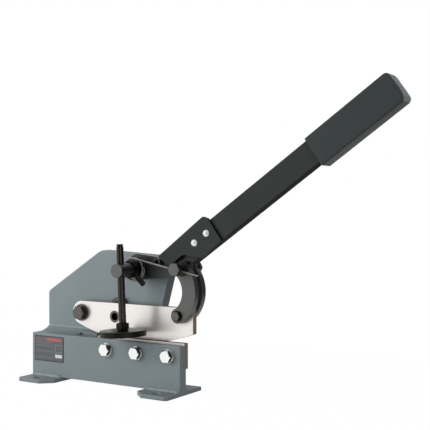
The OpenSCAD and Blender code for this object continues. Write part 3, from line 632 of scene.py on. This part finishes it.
def materials(context):
    """The finishes by name, made once."""
    c = context.scene.shear_colours
    kept = bpy.data.materials
    if "frame_satin_paint" in kept:
        return {m.name: m for m in kept}
    # Satin enamel sprayed on plate: even blue grey, faint orange peel, a painted highlight along the edges
    # and light painted shade in the corners
    finish("frame_satin_paint", tuple(c.frame), rough=0.5, vary=0.035, mottle=0.06, bump=0.00002,
           grain=0.0011, edge=1.5, edge_gain=1.9, corner_shade=0.15, shine=0.2)
    # Satin enamel on flame-cut links: dark warm grey, softer edges with a painted highlight, faces turned
    # from the front painted darker as shade, and painted shade in the corners
    finish("link_satin_paint", tuple(c.link), rough=0.42, vary=0.05, mottle=0.02, bump=0.00003,
           grain=0.0012, edge=0.9, edge_gain=1.4, rim=srgb("#2b2b2a"), coat=0.1, corner_shade=0.85)
    # Satin enamel on the lever: near black grey with a painted highlight along the edges, faces turned from
    # the front (undersides, top and ends) painted darker and matt as shade, and painted shade in the corners
    finish("lever_satin_paint", tuple(c.lever), rough=0.4, vary=0.05, mottle=0.05, bump=0.00002,
           grain=0.001, edge=1.3, edge_gain=1.9, rim=srgb("#1b1817"), rim_share=(0.3, 0.6),
           dull_rim=True, corner_shade=0.8, shine=0.08)
    # The arm's enamel: the lever paint painted darker as shade, with a painted highlight along its edges and
    # painted shade in the corners
    finish("arm_oiled_paint", shade(tuple(c.lever), 0.5), rough=0.36, vary=0.08, mottle=0.02,
           bump=0.00002, grain=0.001, edge=0.9, edge_gain=2.0, coat=0.12, corner_shade=0.85)
    # Dipped soft plastic: matt face, and an end face painted lighter as the light that falls on it
    finish("grip_soft_plastic", tuple(c.grip), rough=0.5, vary=0.04, mottle=0.05, bump=0.00003,
           grain=0.0007, edge=0.6, rim=tuple(c.grip_end_painted_light), rim_axis="X", rim_share=(0.8, 0.7), shine=0.15)
    # Surface-ground tool steel: bright faces with fine lines along the blade, brown oiled edges, painted
    # shade in the corners
    finish("blade_ground_steel", tuple(c.blade), rough=0.3, metal=0.75, vary=0.012, mottle=0.06,
           bump=0.0000001, grain=0.0007, stretch=RUBBED, edge=0.35, rim=tuple(c.blade_edge),
           dull_rim=True, spread=0.008, brushed=0.6, corner_shade=0.8)
    # Hot-blackened screw steel: black with sharp highlights, painted shade in the corners
    finish("black_oxide_steel", tuple(c.oxide), rough=0.34, metal=0.9, vary=0.14, mottle=0.012,
           bump=0.000006, grain=0.0005, edge=0.4, spread=0.08, corner_shade=0.5)
    # Rolled thread on blackened steel: glossier and browner than plain black oxide
    finish("black_oxide_spindle", srgb("#423e3c"), rough=0.16, metal=1.0, vary=0.14, mottle=0.01,
           bump=0.000004, grain=0.0005, edge=0.2)
    # Blackened bar with end faces cut afterwards: grey saw lines on black
    finish("turned_black_bar", tuple(c.turned), rough=0.42, metal=0.6, vary=0.08, mottle=0.008,
           bump=0.00002, grain=0.0009, stretch=SAWN, turn=0.8, edge=0.5, rim=srgb("#32312f"))
    # The same on the link's upper bolt, whose collar stays black behind the head, with painted shade in the
    # corners
    head = finish("turned_black_head", tuple(c.turned), rough=0.42, metal=0.6, vary=0.12, mottle=0.003,
                  bump=0.00003, grain=0.0009, edge=0.5, rim=tuple(c.oxide), corner_shade=0.6)
    keep_head(head, HEAD_END, tuple(c.oxide))
    # Oiled bolt steel: brown black with a worn head
    finish("oiled_bolt_steel", srgb("#625e5b"), rough=0.4, metal=0.6, vary=0.12, mottle=0.006,
           bump=0.00001, grain=0.0006, edge=0.4, rim=srgb("#2e2722"))
    # Bare steel darkened by oil, with brown in it
    finish("oiled_dark_steel", srgb("#6d625e"), rough=0.4, metal=0.7, vary=0.2, mottle=0.004,
           bump=0.000006, grain=0.0005, edge=0.4, rim=srgb("#2b2321"))
    # Bright zinc plate on hex heads and washers: near white faces, sides painted dark as the reflection of
    # the shaded wall, painted shade in the joints
    finish("zinc_plate_hex", tuple(c.zinc), rough=0.16, metal=1.0, vary=0.03, mottle=0.004,
           bump=0.000001, grain=0.0004, edge=0.25, rim=srgb("#4e5153"), rim_share=(0.35, 0.65),
           spread=0.04, corner_shade=0.7)
    # Bright zinc plate on domed heads: duller, so that the dome stays light all over
    finish("zinc_plate_dome", tuple(c.zinc), rough=0.42, metal=0.7, vary=0.03, mottle=0.004,
           bump=0.000001, grain=0.0004, edge=0.25, spread=0.04)
    # Sintered bronze: dull gold
    finish("bearing_bronze", srgb("#a8834f"), rough=0.35, metal=1.0, vary=0.08, mottle=0.006,
           bump=0.000002, grain=0.0004, edge=0.3)
    # Drawn spring wire: grey, drawn smooth along its length
    finish("spring_wire", srgb("#868684"), rough=0.3, metal=0.7, vary=0.1, mottle=0.008, bump=0.000002,
           grain=0.0004, edge=0.1)
    # Weld bead under the frame's enamel: the same paint lightened as a painted highlight, glossier on its
    # ripples
    finish("weld_bead_paint", shade(tuple(c.frame), 1.15), rough=0.3, vary=0.08, mottle=0.006,
           bump=0.00008, grain=0.002, edge=0.1, coat=0.4)
    # Printed plate: dull grey ground under plain coloured fields
    label_finish("blank_data_plate", base=srgb("#5a5c5e"), red=srgb("#a8605c"), rule=srgb("#7e8082"),
                 pale=srgb("#d4d6d8"))
    return {m.name: m for m in kept}


# Finish of each CAD piece that is shown as it is, or taken over by a piece made here
NODE_FINISH = {
    "frame_satin_paint": ("front_wall", "bridge_block", "back_plate", "left_foot", "right_foot"),
    "blank_data_plate": ("data_plate",),
    "blade_ground_steel": ("lower_blade", "upper_blade"),
    "oiled_dark_steel": ("bar_ring", "blade_pivot_spacer", "hub_spacer", "arm_bush"),
    "bearing_bronze": ("blade_bush",),
    "zinc_plate_hex": (
        "lower_blade_bolts", "lower_blade_spring_washers", "lower_blade_washers", "blade_rear_washer",
        "blade_pivot_nut", "lever_nuts", "hub_washer", "hub_nut",
    ),
    "zinc_plate_dome": ("lever_bolts",),
    "link_satin_paint": ("link_front_plate", "link_rear_plate"),
    "lever_satin_paint": ("lever_bracket", "lever_bar"),
    "arm_oiled_paint": ("lever_arm", "lever_boss"),
    "grip_soft_plastic": ("lever_grip",),
    "spring_wire": ("return_spring",),
    "turned_black_bar": ("hold_down_bar", "link_lower_bolt"),
    "turned_black_head": ("link_upper_bolt",),
    "oiled_bolt_steel": ("blade_pivot_bolt", "blade_front_washer", "bar_bush"),
    "black_oxide_spindle": ("hold_down_spindle",),
    "black_oxide_steel": (
        "link_lower_washers", "link_lower_nut", "link_upper_washer", "link_upper_nut", "pivot_hub",
        "lock_screw", "hold_down_nut", "hold_down_pad",
    ),
}


class SHEAR_OT_finishes(bpy.types.Operator):
    """Give every CAD piece its finish."""

    bl_idname = "shear.finishes"
    bl_label = "Finishes"

    def execute(self, context):
        mats = materials(context)
        for name, nodes in NODE_FINISH.items():
            for node in nodes:
                obj = frame["nodes"][node]
                obj.data.materials.clear()
                obj.data.materials.append(mats[name])
        return {"FINISHED"}


class SHEAR_OT_welds(bpy.types.Operator):
    """Lay the weld beads of the frame."""

    bl_idname = "shear.welds"
    bl_label = "Weld beads"

    def execute(self, context):
        mat = materials(context)["weld_bead_paint"]
        radius = context.scene.shear_sizes.weld / MM
        for seed, (name, start, end, out, share) in enumerate(WELDS):
            make(name, [bead(start, end, out, radius * share, seed)], mat, "frame", angle=60)
        return {"FINISHED"}


class SHEAR_OT_blade_fasteners(bpy.types.Operator):
    """Make the bolts, split washers and pivot bolt of the blades."""

    bl_idname = "shear.blade_fasteners"
    bl_label = "Blade fasteners"

    def execute(self, context):
        mats = materials(context)
        zinc = mats["zinc_plate_hex"]
        places = [(x, BLADE_BOLT_Z) for x in BLADE_BOLTS]
        heads = [turned(bolt_rings(**WALL_BOLT), place) for place in places]
        splits = [self.split_ring(*place) for place in places]
        flats = [turned(ring_rings(**FLAT_WASHER), place) for place in places]
        make("wall_bolts", heads, zinc, "frame", ("lower_blade_bolts",))
        make("wall_spring_washers", splits, zinc, "frame", ("lower_blade_spring_washers",))
        make("wall_flat_washers", flats, zinc, "frame", ("lower_blade_washers",))
        pivot = [turned(rings, BLADE_PIVOT) for rings in (bolt_rings(**PIVOT_BOLT), PIVOT_END)]
        make("pivot_bolt", pivot, mats["oiled_bolt_steel"], "frame", ("blade_pivot_bolt",))
        pivot_nut = turned(nut_rings(**PIVOT_NUT), BLADE_PIVOT)
        make("pivot_nut", [pivot_nut], zinc, "frame", ("blade_pivot_nut",))
        hub_nut = turned(nut_rings(**HUB_NUT), LEVER_PIVOT)
        make("hub_nut_piece", [hub_nut], zinc, "frame", ("hub_nut",))
        return {"FINISHED"}

    def split_ring(self, x, z):
        """Split washer: its section carried along (r cos t, y, r sin t) from the split round to the split.

        The front face rises by rise t / 2 pi, while the back, at the full thickness, stays flat.
        """
        t = np.linspace(SPLIT_GAP, 2 * math.pi - SPLIT_GAP, SPLIT_STEPS)[:, None]
        r, h = np.array(SPLIT_SECTION).T
        rise = SPLIT_RISE * t / (2 * math.pi) * (1 - h / SPLIT_THICK)
        y = WALL_BOLT["seat"] + SPLIT_CLEAR + rise + h
        g = np.stack([x + r * np.cos(t), y, z + r * np.sin(t)], -1)
        first = np.broadcast_to(g[:1].mean(1, keepdims=True), g[:1].shape)
        last = np.broadcast_to(g[-1:].mean(1, keepdims=True), g[-1:].shape)
        return shear_point(np.concatenate([first, g, last]))


class SHEAR_OT_link_fasteners(bpy.types.Operator):
    """Make the bolts and nuts of the link's two pivots."""

    bl_idname = "shear.link_fasteners"
    bl_label = "Link fasteners"

    def execute(self, context):
        mats = materials(context)
        oxide = mats["black_oxide_steel"]
        low = turned(bolt_rings(**LINK_LOW_BOLT), LINK_LOW)
        make("link_low_bolt", [low], mats["turned_black_bar"], "link", ("link_lower_bolt",))
        low_nut = turned(nut_rings(**LINK_LOW_NUT), LINK_LOW)
        make("link_low_nut", [low_nut], oxide, "link", ("link_lower_nut",))
        rings = [(0.0, LINK_TOP_HEAD["y0"])] + hex_rings(**LINK_TOP_HEAD) + list(LINK_TOP_END)
        top = turned(rings, LINK_TOP)
        make("link_top_bolt", [top], mats["turned_black_head"], "lever", ("link_upper_bolt",))
        top_nut = turned(nut_rings(**LINK_TOP_NUT), LINK_TOP)
        make("link_top_nut", [top_nut], oxide, "lever", ("link_upper_nut",))
        return {"FINISHED"}


class SHEAR_OT_lever_pieces(bpy.types.Operator):
    """Make the grip and the domed bolts of the lever."""

    bl_idname = "shear.lever_pieces"
    bl_label = "Grip and lever bolts"

    def execute(self, context):
        mats = materials(context)
        grip = self.grip(context.scene.shear_sizes.grip_round / MM)
        make("grip", [grip], mats["grip_soft_plastic"], "lever", ("lever_grip",), angle=40)
        a = np.linspace(*DOME_ARC, ROUND_POINTS)
        dome = list(zip(DOME_RADIUS * np.sin(a), DOME_SEAT - DOME_HEIGHT * np.cos(a)))
        rings = [(0.0, DOME_SEAT - DOME_HEIGHT)] + dome + list(DOME_SHANK)
        places = [(u, LEVER_BOLT_V) for u in LEVER_BOLTS]
        domes = [turned(rings, place, lever_point) for place in places]
        nuts = [turned(nut_rings(**LEVER_NUT), place, lever_point) for place in places]
        make("bracket_bolts", domes, mats["zinc_plate_dome"], "lever", ("lever_bolts",), angle=50)
        make("bracket_nuts", nuts, mats["zinc_plate_hex"], "lever", ("lever_nuts",))
        return {"FINISHED"}

    def grip(self, radius):
        """Sleeve of rounded section along u: a lip of inset e (1 - sin a), a nose of inset e (1 - cos a)."""
        w, h = GRIP_WIDTH, GRIP_HEIGHT
        stations = [(GRIP_START, *GRIP_MOUTH), (GRIP_START, w - 2 * GRIP_LIP, h - 2 * GRIP_LIP, radius)]
        for a in np.linspace(0, math.pi / 2, LIP_POINTS):
            d = GRIP_LIP * (1 - math.sin(a))
            u = GRIP_START + GRIP_LIP * (1 - math.cos(a))
            stations.append((u, w - 2 * d, h - 2 * d, radius))
        for a in np.linspace(0, math.pi / 2, ROUND_POINTS):
            d = GRIP_NOSE * (1 - math.cos(a))
            u = GRIP_END - GRIP_NOSE * (1 - math.sin(a))
            stations.append((u, w - d * GRIP_TAPER, h - 2 * d, radius))
        rows = []
        for u, wide, high, r in stations:
            ring = rounded_ring(wide, high, r)
            rows.append(np.stack([np.full(len(ring), u), GRIP_Y + ring[:, 0], GRIP_V + ring[:, 1]], -1))
        rows.append(np.broadcast_to([GRIP_END, GRIP_Y, GRIP_V], rows[-1].shape))
        return lever_point(np.array(rows))


class SHEAR_OT_spring(bpy.types.Operator):
    """Wind the return spring."""

    bl_idname = "shear.spring"
    bl_label = "Return spring"

    def execute(self, context):
        mats = materials(context)
        radius = context.scene.shear_sizes.wire / MM
        path = self.path()
        points = np.stack([LEVER_PIVOT[0] + path[:, 0], path[:, 1], LEVER_PIVOT[1] + path[:, 2]], -1)
        obj = make("spring", [shear_point(sweep(points, radius))], mats["spring_wire"], None,
                   ("return_spring",), angle=60)
        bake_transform(obj)
        return {"FINISHED"}

    def path(self):
        """Coil (r cos a, y0 + p (a - a0) / 2 pi, r sin a), a foot towards the hub and a straight arm."""
        a = np.linspace(ARM_ANGLE + COIL_TURNS * 2 * math.pi, ARM_ANGLE, COIL_POINTS)
        along = COIL_END + COIL_PITCH * (a - ARM_ANGLE) / (2 * math.pi)
        coil = np.stack([COIL_RADIUS * np.cos(a), along, COIL_RADIUS * np.sin(a)], -1)
        b = a[0] + np.linspace(*FOOT_TURN, FOOT_POINTS)
        inward = COIL_RADIUS - FOOT_INWARD * (np.linspace(1, 0, FOOT_POINTS) ** 2)
        foot = np.stack([inward * np.cos(b), np.full(FOOT_POINTS, coil[0, 1]), inward * np.sin(b)], -1)
        rise = -COIL_PITCH / (2 * math.pi * COIL_RADIUS)
        arm = np.array([math.sin(ARM_ANGLE), rise, -math.cos(ARM_ANGLE)])
        return np.concatenate([foot, coil, coil[-1] + arm * np.linspace(*ARM_REACH, ARM_POINTS)[:, None]])


class SHEAR_OT_hold_down(bpy.types.Operator):
    """Cut the spindle's thread and turn the nut and pad."""

    bl_idname = "shear.hold_down"
    bl_label = "Hold-down"

    def execute(self, context):
        mats = materials(context)
        oxide = mats["black_oxide_steel"]
        sizes = context.scene.shear_sizes
        spindle = self.spindle(sizes.pitch / MM, sizes.depth / MM)
        make("spindle", [spindle], mats["black_oxide_spindle"], "spindle",
             ("hold_down_spindle",), angle=50)
        nut = self.about_spindle(nut_rings(**SPINDLE_NUT), SIDES)
        make("spindle_nut", [nut], oxide, "spindle", ("hold_down_nut",))
        pad = self.about_spindle([(r, PAD_TOP + h) for r, h in PAD_PROFILE], PAD_SIDES)
        make("pad", [pad], oxide, "pad", ("hold_down_pad",), angle=24)
        return {"FINISHED"}

    def about_spindle(self, rings, sides, place=hold_point):
        """Rings turned about the spindle, by radius and height over the lever's pivot."""
        return turned(rings, (0, SPINDLE_Y), place, "z", sides)

    def spindle(self, pitch, depth):
        """Thread r(t, z) = r0 - depth |2 frac(z / pitch - t / 2 pi) - 1|, fading out at both ends."""
        low = PAD_TOP - PAD_SOCKET
        z = np.arange(low, THREAD_TOP, pitch / THREAD_ROWS)
        t = np.linspace(0, 2 * math.pi, SPINDLE_SIDES, endpoint=False)
        turn = z[:, None] / pitch - t[None] / (2 * math.pi)
        cut = np.abs(2 * (turn - np.floor(turn)) - 1)
        fade = np.clip(np.minimum(z - low - PLAIN_FOOT, THREAD_TOP - z) / THREAD_FADE, 0, 1)[:, None]
        r = SPINDLE_RADIUS - depth * cut * fade
        x, y = r * np.cos(t), SPINDLE_Y + r * np.sin(t)
        body = np.stack([x, y, np.broadcast_to(z[:, None], r.shape)], -1)
        foot = [(0, low), (FOOT_EDGE[0], low), (SPINDLE_RADIUS, low + FOOT_EDGE[1])]
        neck = [(NECK_RADIUS, THREAD_TOP + NECK_FALL), (NECK_RADIUS, SPINDLE_TOP - NECK_EDGE),
                (NECK_RADIUS - NECK_EDGE, SPINDLE_TOP), (0, SPINDLE_TOP)]
        ends = self.about_spindle(foot, SPINDLE_SIDES, np.asarray)
        tips = self.about_spindle(neck, SPINDLE_SIDES, np.asarray)
        return hold_point(np.concatenate([ends, body[len(foot) :], tips]))


# Softboxes: name, the property with its power, place, and width and height in metres
SOFTBOXES = (
    ("key_softbox", "key", (-0.62, -1.0, 0.42), (1.4, 1.1)),
    ("fill_softbox", "fill", (1.5, -0.5, 0.3), (0.8, 0.8)),
    ("top_softbox", "top", (0.5, -0.1, 1.7), (1.1, 1.1)),
    ("rear_softbox", "rear", (0.3, 1.9, 1.3), (1.8, 0.9)),
)
SOFTBOX_AIM = (0.1, 0.03, 0.2)

# Camera at the photo's angle: place and aim in metres, lens and sensor in millimetres
CAMERA_PLACE = (0.9214, -1.1044, 0.29024)
CAMERA_AIM = (0.21772, 0.021, 0.281625)
CAMERA_LENS = 73.895
CAMERA_SENSOR = 36.0

# Floor: half its side and its height in metres, the strength of its glow, and the glow's share for the camera
FLOOR_HALF = 0.55
FLOOR_Z = -0.0005
FLOOR_GLOW = 1.05
FLOOR_WHITE = 0.94
WHITE = (1.0, 1.0, 1.0, 1.0)

# Brightness of the room's walls in reflections by the compass: degrees from the front towards the right
ROOM_WALLS = (
    (-179.9, 1.0), (-14, 1.0), (-4, 0.07), (38, 0.07), (46, 0.85), (74, 0.85), (84, 0.07), (158, 0.07),
    (170, 1.0), (179.9, 1.0),
)
# Where the walls turn into the white ceiling, and the room's light by X and by Z: low, high, start, end
CEILING = (0.0, 1.0, 0.5, 0.85)
ROOM_BY_X = (1.0, 0.5, -0.4, 0.6)
ROOM_BY_Z = (0.66, 0.36, -0.2, 0.9)


def point_at(obj, place, target):
    """Put an object at a place and turn its -Z towards the target."""
    obj.location = place
    obj.rotation_mode = "QUATERNION"
    obj.rotation_quaternion = (Vector(target) - Vector(place)).to_track_quat("-Z", "Y")


class SHEAR_OT_stage(bpy.types.Operator):
    """Set up the floor, the softboxes, the room and the camera."""

    bl_idname = "shear.stage"
    bl_label = "Stage"

    def execute(self, context):
        stage = context.scene.shear_stage
        self.floor(tuple(stage.floor))
        self.room(stage.room)
        for name, power, place, size in SOFTBOXES:
            self.softbox(name, place, size, getattr(stage, power))
        camera = bpy.data.objects.new("camera", bpy.data.cameras.new("camera"))
        camera.data.sensor_width = CAMERA_SENSOR
        camera.data.lens = CAMERA_LENS
        point_at(camera, CAMERA_PLACE, CAMERA_AIM)
        context.scene.collection.objects.link(camera)
        context.scene.camera = camera
        context.scene.view_settings.view_transform = "Standard"
        return {"FINISHED"}

    def softbox(self, name, place, size, power):
        """A softbox that lights the shear and isn't seen itself."""
        light = bpy.data.lights.new(name, "AREA")
        light.shape = "RECTANGLE"
        light.size, light.size_y = size
        light.energy = power
        obj = bpy.data.objects.new(name, light)
        point_at(obj, place, SOFTBOX_AIM)
        obj.visible_camera = False
        obj.visible_glossy = False
        bpy.context.scene.collection.objects.link(obj)

    def floor(self, colour):
        """A pale floor that the camera sees as the white backdrop, faintly shaded."""
        r, z = FLOOR_HALF, FLOOR_Z
        mesh = bpy.data.meshes.new("floor")
        mesh.from_pydata([(-r, -r, z), (r, -r, z), (r, r, z), (-r, r, z)], [], [(0, 1, 2, 3)])
        mat = bpy.data.materials.new("pale_floor")
        mat.use_nodes = True
        tree = mat.node_tree
        tree.nodes.clear()
        rays = add(tree, "LightPath").outputs
        seen = rays["Is Camera Ray"]
        for ray in ("Is Glossy Ray", "Is Transmission Ray"):
            seen = add(tree, "Math", {"operation": "MAXIMUM"}, i0=seen, i1=rays[ray]).outputs[0]
        seen = add(tree, "Math", {"operation": "MULTIPLY"}, i0=seen, i1=FLOOR_WHITE).outputs[0]
        soft = add(tree, "BsdfDiffuse", Color=colour).outputs[0]
        glow = add(tree, "Emission", Color=WHITE, Strength=FLOOR_GLOW).outputs[0]
        mixed = add(tree, "MixShader", i0=seen, i1=soft, i2=glow).outputs[0]
        add(tree, "OutputMaterial", Surface=mixed)
        mesh.materials.append(mat)
        obj = bpy.data.objects.new("floor", mesh)
        bpy.context.scene.collection.objects.link(obj)

    def room(self, strength):
        """White for the camera, white walls with dark gaps for mirrors, and a soft room for the rest."""
        world = bpy.data.worlds.new("room")
        bpy.context.scene.world = world
        world.use_nodes = True
        tree = world.node_tree
        tree.nodes.clear()
        rays = add(tree, "LightPath").outputs
        x, y, z = add(tree, "SeparateXYZ", Vector=add(tree, "TexCoord").outputs["Generated"]).outputs
        side = add(tree, "MapRange", Value=x, **span(*ROOM_BY_X)).outputs[0]
        up = add(tree, "MapRange", Value=z, **span(*ROOM_BY_Z)).outputs[0]
        tone = add(tree, "Math", {"operation": "MULTIPLY"}, i0=side, i1=up).outputs[0]
        soft = add(tree, "Background", Color=tone, Strength=strength).outputs[0]
        front = add(tree, "Math", {"operation": "MULTIPLY"}, i0=y, i1=-1.0).outputs[0]
        turn = add(tree, "Math", {"operation": "ARCTAN2"}, i0=x, i1=front).outputs[0]
        share = add(tree, "MapRange", Value=turn, **span(0.0, 1.0, -math.pi, math.pi)).outputs[0]
        ramp = add(tree, "ValToRGB", Fac=share)
        marks = ramp.color_ramp.elements
        for degrees, level in ROOM_WALLS:
            marks.new(degrees / 360 + 0.5).color = (level, level, level, 1.0)
        marks.remove(marks[-1])
        marks.remove(marks[0])
        over = add(tree, "MapRange", Value=z, **span(*CEILING)).outputs[0]
        mirrored = add(tree, "Mix", MIX, i0=over, i6=ramp.outputs[0], i7=WHITE).outputs[2]
        walls = add(tree, "Background", Color=mirrored, Strength=1.0).outputs[0]
        white = add(tree, "Background", Color=WHITE, Strength=1.0).outputs[0]
        bright = add(tree, "Math", {"operation": "MAXIMUM"}, i0=rays["Is Glossy Ray"],
                     i1=rays["Is Transmission Ray"]).outputs[0]
        lit = add(tree, "MixShader", i0=bright, i1=soft, i2=walls).outputs[0]
        mixed = add(tree, "MixShader", i0=rays["Is Camera Ray"], i1=lit, i2=white).outputs[0]
        add(tree, "OutputWorld", Surface=mixed)


OPERATORS = (
    SHEAR_OT_finishes,
    SHEAR_OT_welds,
    SHEAR_OT_blade_fasteners,
    SHEAR_OT_link_fasteners,
    SHEAR_OT_lever_pieces,
    SHEAR_OT_spring,
    SHEAR_OT_hold_down,
    SHEAR_OT_stage,
)


class SHEAR_PT_panel(bpy.types.Panel):
    """Sidebar panel that lists the sizes, the colours and the operators."""

    bl_label = "Bench lever shear"
    bl_idname = "SHEAR_PT_panel"
    bl_space_type = "VIEW_3D"
    bl_region_type = "UI"
    bl_category = "Shear"

    def draw(self, context):
        column = self.layout.column()
        for group in (context.scene.shear_colours, context.scene.shear_sizes, context.scene.shear_stage):
            for key in type(group).__annotations__:
                column.prop(group, key)
        for operator in OPERATORS:
            column.operator(operator.bl_idname)


CLASSES = (ShearColours, ShearSizes, ShearStage) + OPERATORS + (SHEAR_PT_panel,)


def register():
    """Register the classes and their settings."""
    for cls in CLASSES:
        bpy.utils.register_class(cls)
    bpy.types.Scene.shear_colours = bpy.props.PointerProperty(type=ShearColours)
    bpy.types.Scene.shear_sizes = bpy.props.PointerProperty(type=ShearSizes)
    bpy.types.Scene.shear_stage = bpy.props.PointerProperty(type=ShearStage)


def unregister():
    """Remove the settings and the classes."""
    del bpy.types.Scene.shear_colours, bpy.types.Scene.shear_sizes, bpy.types.Scene.shear_stage
    for cls in reversed(CLASSES):
        bpy.utils.unregister_class(cls)


def main():
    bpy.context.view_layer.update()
    register()
    bpy.ops.shear.finishes()
    bpy.ops.shear.welds()
    bpy.ops.shear.blade_fasteners()
    bpy.ops.shear.link_fasteners()
    bpy.ops.shear.lever_pieces()
    bpy.ops.shear.spring()
    bpy.ops.shear.hold_down()
    bpy.ops.shear.stage()


if __name__ == "__main__":
    main()
